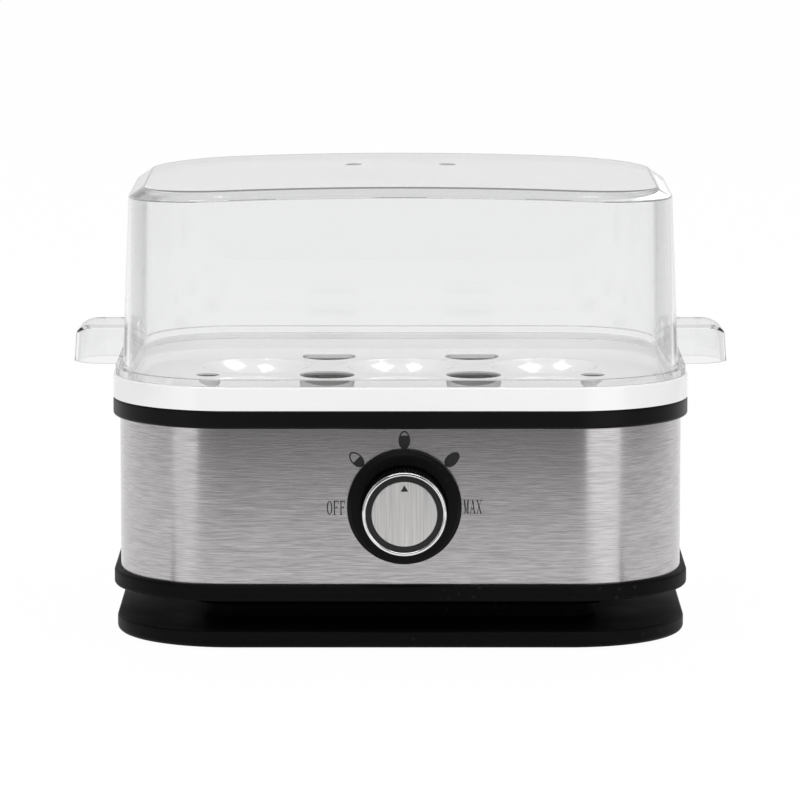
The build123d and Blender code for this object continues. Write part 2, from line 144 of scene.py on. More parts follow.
class CookerStage(bpy.types.PropertyGroup):
    """Camera, floor and lamps."""

    eye: FloatVectorProperty(name="Camera", description="Place of the camera", size=3, subtype="TRANSLATION",
                             default=(-0.00016, -1.79265, 0.3273))
    pitch: number("Pitch", "How far the camera looks down", 0.1388, subtype="ANGLE")
    lens: number("Lens", "Focal length in millimetres", 233.93)
    ambient: number("Ambient", "Light from all round", 0.60)
    front_dim: number("Front", "What shines back from in front", 0.03)
    back_dim: number("Back", "What shines back from behind, above the floor", 0.85)
    through_dim: number("Through", "What shows through clear plastic, above the floor", 0.79)
    top_dim: number("Top", "What shines back from above", 0.35)
    floor_glow: number("Floor", "Share of the floor's white that no shadow dims", 0.98, subtype="FACTOR")
    left_power: power("Left lamp", "Power of the left lamp in watts", 2.9)
    right_power: power("Right lamp", "Power of the right lamp in watts", 4.6)
    back_power: power("Back lamps", "Power of each lamp above and behind in watts", 4.0)
    top_power: power("Top lamp", "Power of the top lamp in watts", 8.5)


# Node groups that more than one finish uses


def group_start(name, inputs, outputs):
    """A shader node group with named float sockets."""
    group = bpy.data.node_groups.new(name, "ShaderNodeTree")
    for label, default in inputs:
        socket = group.interface.new_socket(label, in_out="INPUT", socket_type="NodeSocketFloat")
        socket.default_value = default
    for label in outputs:
        group.interface.new_socket(label, in_out="OUTPUT", socket_type="NodeSocketFloat")
    return group, group.nodes.new("NodeGroupInput"), group.nodes.new("NodeGroupOutput")


def node(tree, kind, **settings):
    made = tree.nodes.new(kind)
    for key, value in settings.items():
        setattr(made, key, value)
    return made


def feed(tree, source, socket):
    """Links an output to a socket, or sets the socket to a number."""
    if isinstance(source, (int, float)):
        socket.default_value = source
    else:
        tree.links.new(source, socket)


def calc(tree, operation, first, second):
    made = node(tree, "ShaderNodeMath", operation=operation)
    feed(tree, first, made.inputs[0])
    feed(tree, second, made.inputs[1])
    return made.outputs[0]


def blend(tree, factor, low, high):
    """A value between two, by a factor."""
    made = node(tree, "ShaderNodeMix")
    for label, source in (("Factor", factor), ("A", low), ("B", high)):
        feed(tree, source, made.inputs[label])
    return made.outputs["Result"]


def scaled_place(tree, source, labels):
    """Object coordinates, each times one of the group's inputs."""
    place = node(tree, "ShaderNodeTexCoord")
    stretch = node(tree, "ShaderNodeCombineXYZ")
    for axis, label in zip("XYZ", labels):
        tree.links.new(source.outputs[label], stretch.inputs[axis])
    product = node(tree, "ShaderNodeVectorMath", operation="MULTIPLY")
    tree.links.new(place.outputs["Object"], product.inputs[0])
    tree.links.new(stretch.outputs["Vector"], product.inputs[1])
    return product.outputs["Vector"]


def noise(tree, place, detail, scale=1.0):
    made = node(tree, "ShaderNodeTexNoise")
    made.inputs["Scale"].default_value = scale
    made.inputs["Detail"].default_value = detail
    tree.links.new(place, made.inputs["Vector"])
    return made.outputs["Fac"]


def spread(tree, value, low, high, to_low=0.0, to_high=1.0):
    """A value moved from one range to another, with its ends held."""
    made = node(tree, "ShaderNodeMapRange")
    for label, source in (("From Min", low), ("From Max", high), ("To Min", to_low), ("To Max", to_high)):
        feed(tree, source, made.inputs[label])
    tree.links.new(value, made.inputs["Value"])
    return made.outputs["Result"]


def brush_group():
    """Fine drawn lines: streaks of two lengths, mixed."""
    inputs = [("Stretch X", 60.0), ("Stretch Y", 60.0), ("Stretch Z", 2500.0), ("Share", 0.15)]
    group, source, sink = group_start("brushed_lines", inputs, ["Lines"])
    place = scaled_place(group, source, ("Stretch X", "Stretch Y", "Stretch Z"))
    fine = spread(group, noise(group, place, 2.0), 0.3, 0.7)
    wide = spread(group, noise(group, place, 3.0, 0.22), 0.35, 0.65)
    group.links.new(blend(group, source.outputs["Share"], fine, wide), sink.inputs["Lines"])
    return group


def grain_group():
    """The fine texture of a moulded surface, with slow changes of its shine."""
    inputs = [("Grain", 2600.0), ("Cloud", 45.0), ("Smooth", 0.3), ("Rough", 0.45)]
    group, source, sink = group_start("moulded_grain", inputs, ["Roughness", "Height"])
    fine = noise(group, scaled_place(group, source, ("Grain",) * 3), 2.0)
    slow = spread(group, noise(group, scaled_place(group, source, ("Cloud",) * 3), 3.0), 0.35, 0.65)
    shine = blend(group, slow, source.outputs["Smooth"], source.outputs["Rough"])
    group.links.new(shine, sink.inputs["Roughness"])
    group.links.new(fine, sink.inputs["Height"])
    return group


def dust_group():
    """Sparse specks of dust."""
    group, source, sink = group_start("dust_specks", [("Scale", 260.0), ("Size", 0.16), ("Amount", 0.5)], ["Mask"])
    place = scaled_place(group, source, ("Scale",) * 3)
    cells = node(group, "ShaderNodeTexVoronoi", feature="F1")
    cells.inputs["Scale"].default_value = 1.0
    group.links.new(place, cells.inputs["Vector"])
    near = calc(group, "LESS_THAN", cells.outputs["Distance"], source.outputs["Size"])
    patch = spread(group, noise(group, place, 2.0, 0.06), 0.5, 0.68)
    specks = calc(group, "MULTIPLY", near, patch)
    group.links.new(calc(group, "MULTIPLY", specks, source.outputs["Amount"]), sink.inputs["Mask"])
    return group


GROUP_MAKERS = {"brushed_lines": brush_group, "moulded_grain": grain_group, "dust_specks": dust_group}


def effect(tree, name, **values):
    """A node group placed in a material with its own values."""
    made = node(tree, "ShaderNodeGroup")
    made.node_tree = bpy.data.node_groups.get(name) or GROUP_MAKERS[name]()
    for label, value in values.items():
        made.inputs[label.replace("_", " ").title()].default_value = value
    return made


# Finishes


def finish_start(name, **sockets):
    """A material with one Principled shader whose plain sockets are set."""
    material = bpy.data.materials.new(name)
    material.use_nodes = True
    tree = material.node_tree
    shader = tree.nodes["Principled BSDF"]
    for label, value in sockets.items():
        socket = shader.inputs[label.replace("_", " ")]
        socket.default_value = (*value, 1.0) if hasattr(value, "__len__") and len(value) == 3 else value
    return material, tree, shader


def tinted(tree, value, low, high):
    """A colour between two, by a value."""
    mix = node(tree, "ShaderNodeMix", data_type="RGBA")
    mix.inputs[6].default_value = (*low, 1.0)
    mix.inputs[7].default_value = (*high, 1.0)
    tree.links.new(value, mix.inputs["Factor"])
    return mix.outputs[2]


def shade(base, factor):
    return tuple(min(1.0, part * factor) for part in base)


def bumped(tree, shader, height, distance):
    bump = node(tree, "ShaderNodeBump")
    bump.inputs["Distance"].default_value = distance
    bump.inputs["Strength"].default_value = 1.0
    tree.links.new(height, bump.inputs["Height"])
    tree.links.new(bump.outputs["Normal"], shader.inputs["Normal"])


def moulded_finish(name, base, smooth, rough, grain=2600.0, depth=0.012 * MM, dust=0.0, **sockets):
    """Moulded plastic or rubber: fine grain, slow changes of shine and a little dust."""
    material, tree, shader = finish_start(name, **sockets)
    skin = effect(tree, "moulded_grain", grain=grain, smooth=smooth, rough=rough)
    tree.links.new(skin.outputs["Roughness"], shader.inputs["Roughness"])
    bumped(tree, shader, skin.outputs["Height"], depth)
    specks = effect(tree, "dust_specks", amount=dust)
    tree.links.new(tinted(tree, specks.outputs["Mask"], base, shade(base, 9.0)), shader.inputs["Base Color"])
    return material


def brushed_finish(name, base, stretch, smooth, rough, contrast, depth=0.004 * MM, turn=0.25, uv=None, **sockets):
    """Brushed metal: lines that change its colour, shine and surface, and a stretched highlight."""
    material, tree, shader = finish_start(name, Metallic=1.0, Anisotropic_Rotation=turn, **sockets)
    lines = effect(tree, "brushed_lines", stretch_x=stretch[0], stretch_y=stretch[1], stretch_z=stretch[2])
    low, high = shade(base, 1.0 - contrast), shade(base, 1.0 + contrast)
    tree.links.new(tinted(tree, lines.outputs["Lines"], low, high), shader.inputs["Base Color"])
    tree.links.new(spread(tree, lines.outputs["Lines"], 0.0, 1.0, rough, smooth), shader.inputs["Roughness"])
    bumped(tree, shader, lines.outputs["Lines"], depth)
    along = node(tree, "ShaderNodeTangent", direction_type="UV_MAP" if uv else "RADIAL")
    if uv:
        along.uv_map = uv
    else:
        along.axis = "Z"
    tree.links.new(along.outputs["Tangent"], shader.inputs["Tangent"])
    return material


def metal_finish(name, base, smooth, rough):
    """Plain metal with slow changes of shine."""
    material, tree, shader = finish_start(name, Metallic=1.0)
    skin = effect(tree, "moulded_grain", grain=1400.0, smooth=smooth, rough=rough)
    tree.links.new(skin.outputs["Roughness"], shader.inputs["Roughness"])
    mottled = tinted(tree, skin.outputs["Height"], shade(base, 0.9), shade(base, 1.08))
    tree.links.new(mottled, shader.inputs["Base Color"])
    bumped(tree, shader, skin.outputs["Height"], 0.006 * MM)
    return material


# Ray depth past which light leaves the clear plastic, and what is left of it then
FREE_DEPTH = 5.5
FREED_TINT = (0.45, 0.45, 0.45)


def clear_finish(name, base):
    """Clear plastic that lets lamp light through, and lets out, dimmed, light that runs along inside it."""
    material, tree, shader = finish_start(name, Base_Color=base, Transmission_Weight=1.0, IOR=1.5, Metallic=0.0)
    skin = effect(tree, "moulded_grain", grain=900.0, cloud=30.0, smooth=0.0, rough=0.03)
    tree.links.new(skin.outputs["Roughness"], shader.inputs["Roughness"])
    path = node(tree, "ShaderNodeLightPath")
    through = node(tree, "ShaderNodeBsdfTransparent")
    deep = calc(tree, "GREATER_THAN", path.outputs["Ray Depth"], FREE_DEPTH)
    matt = calc(tree, "MAXIMUM", path.outputs["Is Shadow Ray"], path.outputs["Diffuse Depth"])
    tree.links.new(tinted(tree, matt, FREED_TINT, (1, 1, 1)), through.inputs["Color"])
    either = node(tree, "ShaderNodeMixShader")
    tree.links.new(calc(tree, "MAXIMUM", matt, deep), either.inputs["Fac"])
    tree.links.new(shader.outputs["BSDF"], either.inputs[1])
    tree.links.new(through.outputs["BSDF"], either.inputs[2])
    tree.links.new(either.outputs["Shader"], tree.nodes["Material Output"].inputs["Surface"])
    return material


def dress(material, *names):
    """Gives CAD nodes a finish."""
    for name in names:
        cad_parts[name].material_slots[0].material = material


# Modelling helpers


def piece_from(bm, name, material, body, smooth=math.radians(32)):
    """A finished piece from a bmesh: shaded smooth over soft edges, on its body, with its slot."""
    mesh = bpy.data.meshes.new(name)
    bm.to_mesh(mesh)
    bm.free()
    piece = bpy.data.objects.new(name, mesh)
    bpy.context.scene.collection.objects.link(piece)
    if material:
        mesh.materials.append(material)
    soften(piece, smooth)
    if body:
        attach(piece, body)
    return piece


def soften(piece, angle):
    piece.data.shade_smooth()
    piece.data.set_sharp_from_angle(angle=angle)


def weigh_normals(piece):
    """Keeps flat faces flat next to their rounded edges."""
    modifier = piece.modifiers.new("flat_faces", "WEIGHTED_NORMAL")
    modifier.mode = "FACE_AREA"
    modifier.weight = 90
    modifier.keep_sharp = True


def carve(piece, tool, operation):
    """Joins or cuts a piece with another one, which is used up."""
    modifier = piece.modifiers.new("carve", "BOOLEAN")
    modifier.operation = operation
    modifier.solver = "EXACT"
    modifier.object = tool
    depsgraph = bpy.context.evaluated_depsgraph_get()
    made = bpy.data.meshes.new_from_object(piece.evaluated_get(depsgraph))
    piece.modifiers.remove(modifier)
    piece.data = made
    bpy.data.objects.remove(tool)


def unique(items):
    """The items without repeats, in their order."""
    return list(dict.fromkeys(items))


def clamp(value, limit):
    return max(-limit, min(limit, value))


def move_to_plan(verts, radius, inset, z, crown):
    """Moves a ring of vertices to the body's plan, inset by a distance, at a level that falls off to the ends."""
    for v in verts:
        x = clamp(v.co.x, HALF_WIDTH - radius)
        y = clamp(v.co.y - MID_Y, HALF_DEPTH - radius) + MID_Y
        out = Vector((v.co.x - x, v.co.y - y, 0)).normalized()
        v.co = Vector((x, y, 0)) + out * (radius - inset)
        v.co.z = z - crown * (v.co.x / HALF_WIDTH) ** 2


def plan_ring(bm, sizes, inset, z, crown):
    """The first ring of edges on the body's plan."""
    radius = sizes.plan_radius
    count = 4 * sizes.corner_steps
    half_step = Matrix.Rotation(math.pi / count, 4, "Z")
    verts = bmesh.ops.create_circle(bm, cap_ends=False, segments=count, radius=radius, matrix=half_step)["verts"]
    for v in verts:
        v.co.x += math.copysign(HALF_WIDTH - radius, v.co.x)
        v.co.y += math.copysign(HALF_DEPTH - radius, v.co.y) + MID_Y
    edges = unique(edge for v in verts for edge in v.link_edges)
    longest = [edge for edge in edges if edge.calc_length() > radius / 2]
    bmesh.ops.subdivide_edges(bm, edges=longest, cuts=9)
    move_to_plan(bm.verts, radius, inset, z, crown)
    return list(bm.edges)


def plan_rings(bm, sizes, steps):
    """Rings of edges on the body's plan, one for each (inset, level, crown), joined by walls."""
    rings = [plan_ring(bm, sizes, *steps[0])]
    for inset, z, crown in steps[1:]:
        made = bmesh.ops.extrude_edge_only(bm, edges=rings[-1])["geom"]
        verts = [item for item in made if isinstance(item, bmesh.types.BMVert)]
        fresh = set(verts)
        rings.append([item for item in made if isinstance(item, bmesh.types.BMEdge) and fresh.issuperset(item.verts)])
        move_to_plan(verts, sizes.plan_radius, inset, z, crown)
    return rings


def cap_ring(bm, edges):
    """Closes a ring with strips that run from the front to the back."""
    bmesh.ops.contextual_create(bm, geom=edges)
    verts = unique(v for edge in edges for v in edge.verts)
    fronts = sorted((v for v in verts if v.co.y < MID_Y), key=lambda v: v.co.x)
    backs = [v for v in verts if v.co.y > MID_Y]
    side = max(v.co.x for v in verts) - TINY
    for front in fronts:
        if abs(front.co.x) < side:
            back = min(backs, key=lambda v: (v.co.xy - Vector((front.co.x, 2 * MID_Y - front.co.y))).length)
            bmesh.ops.connect_verts(bm, verts=[front, back])


def round_edges(bm, edges, offset, segments=4):
    bmesh.ops.bevel(bm, geom=edges, offset=offset, offset_type="OFFSET", segments=segments, profile=0.5,
                    affect="EDGES", material=-1, clamp_overlap=True)


def close_shape(bm):
    bmesh.ops.remove_doubles(bm, verts=bm.verts, dist=1e-7)
    bmesh.ops.recalc_face_normals(bm, faces=bm.faces)


def block(bm, low, high):
    """A box between two corners."""
    size = Vector(high) - Vector(low)
    place = Matrix.Translation((Vector(high) + Vector(low)) / 2) @ Matrix.Diagonal((*size, 1))
    return bmesh.ops.create_cube(bm, size=1.0, matrix=place)["verts"]


class CookerOperator(bpy.types.Operator):
    """Makes part of the egg cooker."""

    bl_options = {"REGISTER", "UNDO"}

    def execute(self, context):
        scene = context.scene
        self.make(scene.cooker_sizes, scene.cooker_colours, scene.cooker_stage)
        return {"FINISHED"}


class COOKER_OT_stage(CookerOperator):
    """Sets up the camera, floor, world and lamps"""

    bl_idname = "cooker.stage"
    bl_label = "Stage"

    # Each lamp's place, its width and height, and the property with its power
    lamps = {
        "left_lamp": ((-1.0, -0.9, 0.15), (0.62, 1.4), "left_power"),
        "right_lamp": ((0.80, -1.08, 0.15), (0.85, 1.4), "right_power"),
        "top_lamp": ((0, -0.9, 1.5), (1.4, 0.8), "top_power"),
        "back_left_lamp": ((-0.30, 1.0, 1.7), (0.26, 0.5), "back_power"),
        "back_right_lamp": ((0.40, 1.05, 1.7), (0.36, 0.6), "back_power"),
    }
    target = Vector((0, 0, 70 * MM))
    floor_low, floor_high = Vector((-0.7, -0.44, 0)), Vector((0.55, 6.0, 0))
    # Wedges cut out of the floor: the tip, and the first and last bearing from the front in degrees
    notches = ((Vector((-0.1, -0.06, 0)), -59.5, -34.0), (Vector((0.1, -0.06, 0)), 16.0, 50.5))
    # Ranges of a direction's Y and Z over which what shines back changes
    front_to_back, low_to_high = (-0.45, 0.9), (0.25, 0.75)

    def make(self, sizes, colours, stage):
        scene = bpy.context.scene
        scene.view_settings.view_transform = "Standard"
        self.camera(scene, stage)
        self.world(scene, stage)
        self.floor(scene, stage)
        for name, (place, size, power_name) in self.lamps.items():
            self.lamp(scene, name, Vector(place), size, getattr(stage, power_name))

    def camera(self, scene, stage):
        data = bpy.data.cameras.new("camera")
        data.sensor_width = 36.0
        data.lens = stage.lens
        data.clip_start = 0.1
        data.clip_end = 50.0
        eye = bpy.data.objects.new("camera", data)
        scene.collection.objects.link(eye)
        eye.location = stage.eye
        eye.rotation_euler = (math.pi / 2 - stage.pitch, 0, 0)
        scene.camera = eye

    def seen(self, tree):
        """The light path, and one for rays from the camera, a mirror or glass that have met no matt surface."""
        path = node(tree, "ShaderNodeLightPath")
        total = path.outputs["Is Camera Ray"]
        for label in ("Is Glossy Ray", "Is Transmission Ray"):
            total = calc(tree, "MAXIMUM", total, path.outputs[label])
        direct = calc(tree, "LESS_THAN", path.outputs["Diffuse Depth"], 0.5)
        return path, calc(tree, "MULTIPLY", total, direct)

    def world(self, scene, stage):
        world = bpy.data.worlds.new("studio")
        world.use_nodes = True
        scene.world = world
        tree = world.node_tree
        path, seen = self.seen(tree)
        way = node(tree, "ShaderNodeSeparateXYZ")
        tree.links.new(node(tree, "ShaderNodeTexCoord").outputs["Generated"], way.inputs["Vector"])
        back = spread(tree, way.outputs["Y"], *self.front_to_back, stage.front_dim, stage.back_dim)
        high = spread(tree, way.outputs["Z"], *self.low_to_high)
        mirrored = blend(tree, high, back, stage.top_dim)
        through = blend(tree, path.outputs["Is Transmission Ray"], mirrored, stage.through_dim)
        shown = blend(tree, path.outputs["Is Camera Ray"], through, 1.0)
        level = blend(tree, seen, stage.ambient, shown)
        sky = tree.nodes["Background"]
        sky.inputs["Color"].default_value = (1, 1, 1, 1)
        tree.links.new(level, sky.inputs["Strength"])

    def floor(self, scene, stage):
        material, tree, shader = finish_start("pale_floor", Base_Color=(0.9, 0.9, 0.9), Roughness=0.6)
        shader.inputs["Specular IOR Level"].default_value = 0.2
        glow = node(tree, "ShaderNodeEmission")
        _, seen = self.seen(tree)
        either = node(tree, "ShaderNodeMixShader")
        tree.links.new(calc(tree, "MULTIPLY", seen, stage.floor_glow), either.inputs["Fac"])
        tree.links.new(shader.outputs["BSDF"], either.inputs[1])
        tree.links.new(glow.outputs["Emission"], either.inputs[2])
        tree.links.new(either.outputs["Shader"], tree.nodes["Material Output"].inputs["Surface"])
        bm = bmesh.new()
        half = (self.floor_high - self.floor_low) / 2
        place = Matrix.Translation((self.floor_low + self.floor_high) / 2) @ Matrix.Diagonal((half.x, half.y, 1, 1))
        bmesh.ops.create_grid(bm, x_segments=6, y_segments=6, size=1.0, matrix=place)
        for tip, first, last in self.notches:
            self.notch(bm, tip, math.radians(first), math.radians(last))
        mesh = bpy.data.meshes.new("floor")
        bm.to_mesh(mesh)
        bm.free()
        mesh.materials.append(material)
        ground = bpy.data.objects.new("floor", mesh)
        scene.collection.objects.link(ground)

    def notch(self, bm, tip, start, end):
        """Cuts a wedge out of the floor between two bearings from the front, so that a lamp shows in the steel."""
        for bearing in (start, end):
            geom = list(bm.verts) + list(bm.edges) + list(bm.faces)
            across = (math.cos(bearing), math.sin(bearing), 0)
            bmesh.ops.bisect_plane(bm, geom=geom, dist=TINY, plane_co=tip, plane_no=across)
        ways = {f: f.calc_center_median() - tip for f in bm.faces}
        gone = [f for f, way in ways.items() if way.y < 0 and start < math.atan2(way.x, -way.y) < end]
        bmesh.ops.delete(bm, geom=gone, context="FACES")

    def lamp(self, scene, name, place, size, watts):
        data = bpy.data.lights.new(name, "AREA")
        data.shape = "RECTANGLE"
        data.size, data.size_y = size
        data.energy = watts
        made = bpy.data.objects.new(name, data)
        scene.collection.objects.link(made)
        made.location = place
        made.rotation_euler = (self.target - place).to_track_quat("-Z", "Y").to_euler()


class COOKER_OT_body(CookerOperator):
    """Finishes the pedestal, housing, steel, ring and what they hold"""

    bl_idname = "cooker.body"
    bl_label = "Body"

    def make(self, sizes, colours, stage):
        black = moulded_finish("black_plastic", colours.black, 0.34, 0.44, dust=0.35, Specular_IOR_Level=0.12)
        dress(black, "upper_ring", "knob_bezel")
        dim = moulded_finish("dim_plastic", colours.black, 0.44, 0.54, dust=0.35, Specular_IOR_Level=0.05)
        dress(dim, "foot_plate", "lower_housing")
        rubber = moulded_finish("black_rubber", colours.rubber, 0.7, 0.85, grain=900.0, depth=0.03 * MM, dust=0.5)
        dress(rubber, "rubber_feet", "cord_gland")
        steel = brushed_finish("brushed_steel", colours.steel, (150.0, 150.0, 3600.0), 0.17, 0.23, 0.20,
                               Anisotropic=0.5)
        dress(steel, "steel_shell")
        dish = brushed_finish("dish_steel", colours.dish_steel, (300.0, 300.0, 300.0), 0.22, 0.34, 0.05)
        dress(dish, "heating_dish")
        dress(moulded_finish("silicone", (0.45, 0.44, 0.42), 0.45, 0.6), "dish_seal")
        zinc = metal_finish("zinc_steel", (0.62, 0.62, 0.60), 0.25, 0.45)
        dress(zinc, "base_screws", "ring_screws", "clamp_nuts", "control_plate", "knob_shaft")
        dress(metal_finish("element_steel", (0.30, 0.29, 0.27), 0.35, 0.55), "heating_element")
        dress(metal_finish("clamp_aluminium", (0.75, 0.75, 0.75), 0.3, 0.5), "element_clamp")
        dress(metal_finish("brass", (0.72, 0.50, 0.20), 0.25, 0.45), "bush_nut", "knob_insert")
        dress(moulded_finish("ceramic", (0.80, 0.78, 0.73), 0.3, 0.45), "element_terminals", "terminal_block")
        resin = moulded_finish("dark_resin", (0.03, 0.03, 0.033), 0.4, 0.55)
        dress(resin, "thermal_cutout", "rotary_control", "buzzer")
        insulation = moulded_finish("wire_insulation", (0.55, 0.06, 0.04), 0.35, 0.5)
        dress(insulation, "wire_supply", "wire_switched", "wire_return")


class COOKER_OT_knob(CookerOperator):
    """Finishes the knob and makes its brushed disc and pointer"""

    bl_idname = "cooker.knob"
    bl_label = "Knob"

    def make(self, sizes, colours, stage):
        dress(moulded_finish("knob_black", colours.knob_black, 0.28, 0.38, dust=0.1), "knob_grip")
        dress(metal_finish("chrome", colours.chrome, 0.04, 0.09), "knob_chrome_ring")
        finish = brushed_finish("knob_steel", colours.knob_steel, (2600.0, 60.0, 40.0), 0.46, 0.56, 0.14,
                                turn=0.0, uv="brush", Anisotropic=0.9)
        bm = bmesh.new()
        radius = (DISC_HIGH.x - DISC_LOW.x) / 2
        face = Matrix.Translation((KNOB_X, DISC_HIGH.y, KNOB_Z)) @ Matrix.Rotation(math.pi / 2, 4, "X")
        made = bmesh.ops.create_circle(bm, cap_ends=True, segments=128, radius=radius, matrix=face)["verts"]
        base = unique(f for v in made for f in v.link_faces)
        top = bmesh.ops.extrude_face_region(bm, geom=base)["geom"]
        lifted = {item for item in top if isinstance(item, bmesh.types.BMVert)}
        bmesh.ops.translate(bm, verts=list(lifted), vec=(0, DISC_LOW.y - DISC_HIGH.y, 0))
        edge = [e for e in bm.edges if all(v in lifted for v in e.verts)]
        round_edges(bm, edge, 0.25 * MM, 3)
        close_shape(bm)
        layer = bm.loops.layers.uv.new("brush")
        for f in bm.faces:
            for loop in f.loops:
                place = (loop.vert.co - DISC_LOW) / (2 * radius)
                loop[layer].uv = (place.x, place.z)
        disc = piece_from(bm, "knob_disc", finish, "knob")
        weigh_normals(disc)
        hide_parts("knob_face")
        ink = moulded_finish("dial_ink", colours.ink, 0.35, 0.5, depth=0.0)
        bm = bmesh.new()
        tip = Vector((KNOB_X, DISC_LOW.y - sizes.ink / 2, KNOB_Z + sizes.pointer_radius))
        place = Matrix.Translation(tip) @ Matrix.Rotation(math.pi / 2, 4, "X")
        bmesh.ops.create_cone(bm, cap_ends=True, segments=3, radius1=sizes.pointer_size, radius2=sizes.pointer_size,
                              depth=sizes.ink, matrix=place)
        piece_from(bm, "knob_pointer", ink, "knob")


class COOKER_OT_prints(CookerOperator):
    """Prints the words and egg marks round the knob"""

    bl_idname = "cooker.prints"
    bl_label = "Dial prints"

    # Strokes of condensed capitals on a field one wide and one high: from, to and width
    stems = {
        "F": [((0.22, 0.0), (0.22, 1.0), 0.20), ((0.06, 0.965), (0.92, 0.965), 0.07),
              ((0.88, 1.0), (0.88, 0.74), 0.08), ((0.30, 0.52), (0.70, 0.52), 0.07),
              ((0.66, 0.64), (0.66, 0.40), 0.08), ((0.04, 0.03), (0.46, 0.03), 0.06)],
        "M": [((0.16, 0.0), (0.16, 1.0), 0.08), ((0.20, 0.98), (0.50, 0.05), 0.19),
              ((0.50, 0.05), (0.80, 0.98), 0.08), ((0.82, 0.0), (0.82, 1.0), 0.20),
              ((0.02, 0.03), (0.32, 0.03), 0.06), ((0.64, 0.03), (1.0, 0.03), 0.06),
              ((0.02, 0.97), (0.22, 0.97), 0.06), ((0.78, 0.97), (1.0, 0.97), 0.06)],
        "A": [((0.14, 0.02), (0.50, 0.98), 0.08), ((0.50, 0.98), (0.84, 0.02), 0.20),
              ((0.28, 0.34), (0.72, 0.34), 0.07), ((0.02, 0.03), (0.30, 0.03), 0.06),
              ((0.64, 0.03), (1.0, 0.03), 0.06)],
        "X": [((0.14, 0.98), (0.84, 0.02), 0.20), ((0.84, 0.98), (0.14, 0.02), 0.08),
              ((0.0, 0.97), (0.34, 0.97), 0.06), ((0.66, 0.97), (1.0, 0.97), 0.06),
              ((0.0, 0.03), (0.32, 0.03), 0.06), ((0.64, 0.03), (1.0, 0.03), 0.06)],
    }
    # A letter's width as a share of its height, the step from one letter to the next as a share of that width,
    # and the opening of the letter O as shares of its width and height
    letter_share, letter_step, oval_share = 0.40, 1.16, (0.56, 0.88)
    # How much an egg narrows to its upper end
    egg_taper = 0.16
    # Each mark's bearing from the top in degrees, and the level up to which it is filled
    eggs = {"egg_soft": (45, 0.5), "egg_medium": (0, 0.74), "egg_hard": (-45, 1.0)}
    off_drop = 0.4 * MM

    def make(self, sizes, colours, stage):
        ink = bpy.data.materials["dial_ink"]
        self.word("OFF", -sizes.word_radius, -self.off_drop, sizes, ink)
        self.word("MAX", sizes.word_radius, 0.0, sizes, ink)
        for name, (bearing, level) in self.eggs.items():
            self.egg(name, math.radians(bearing), level, sizes, ink)

    def on_front(self, x, z, turn, sizes):
        """From a flat drawing, Z towards the reader, to the steel front beside the knob."""
        stand = Matrix.Rotation(math.pi / 2, 4, "X")
        place = Matrix.Translation((KNOB_X + x, FRONT_Y - sizes.ink / 2, KNOB_Z + z))
        return place @ stand @ Matrix.Rotation(turn, 4, "Z")

    def stroke(self, bm, start, end, width, field, thickness):
        """A straight stroke of a letter, drawn flat."""
        a, b = (Vector((p[0] * field.x, p[1] * field.y, 0)) for p in (start, end))
        run = b - a
        place = Matrix.Translation((a + b) / 2) @ Matrix.Rotation(math.atan2(run.y, run.x), 4, "Z")
        across = field.x if abs(run.x) < run.length * 0.7 else field.y
        size = Matrix.Diagonal((run.length, width * across, thickness, 1))
        bmesh.ops.create_cube(bm, size=1.0, matrix=place @ size)

    def ring_letter(self, bm, field, thickness):
        """The letter O: an upright oval with thick sides."""
        middle = Matrix.Translation((field.x / 2, field.y / 2, -thickness / 2))
        oval = bmesh.ops.create_circle(bm, cap_ends=False, segments=40, radius=0.5,
                                       matrix=middle @ Matrix.Diagonal((field.x, field.y, 1, 1)))["verts"]
        edges = unique(e for v in oval for e in v.link_edges)
        made = bmesh.ops.extrude_edge_only(bm, edges=edges)["geom"]
        inner = [item for item in made if isinstance(item, bmesh.types.BMVert)]
        for v in inner:
            v.co.x = field.x / 2 + (v.co.x - field.x / 2) * self.oval_share[0]
            v.co.y = field.y / 2 + (v.co.y - field.y / 2) * self.oval_share[1]
        flat = [item for item in made if isinstance(item, bmesh.types.BMFace)]
        lifted = bmesh.ops.extrude_face_region(bm, geom=flat)["geom"]
        bmesh.ops.translate(bm, verts=[i for i in lifted if isinstance(i, bmesh.types.BMVert)], vec=(0, 0, thickness))

    def word(self, text, x, z, sizes, ink):
        bm = bmesh.new()
        field = Vector((sizes.letter_height * self.letter_share, sizes.letter_height, 0))
        pitch = field.x * self.letter_step
        for index, letter in enumerate(text):
            part = bmesh.new()
            if letter == "O":
                self.ring_letter(part, field, sizes.ink)
            for start, end, width in self.stems.get(letter, ()):
                self.stroke(part, start, end, width, field, sizes.ink)
            shift = Vector(((index - 1) * pitch - field.x / 2, -field.y / 2, 0))
            bmesh.ops.translate(part, verts=part.verts, vec=shift)
            mesh = bpy.data.meshes.new("letter")
            part.to_mesh(mesh)
            part.free()
            bm.from_mesh(mesh)
            bpy.data.meshes.remove(mesh)
        bmesh.ops.transform(bm, matrix=self.on_front(x, z, 0, sizes), verts=bm.verts)
        close_shape(bm)
        piece_from(bm, "word_" + text.lower(), ink, "base")

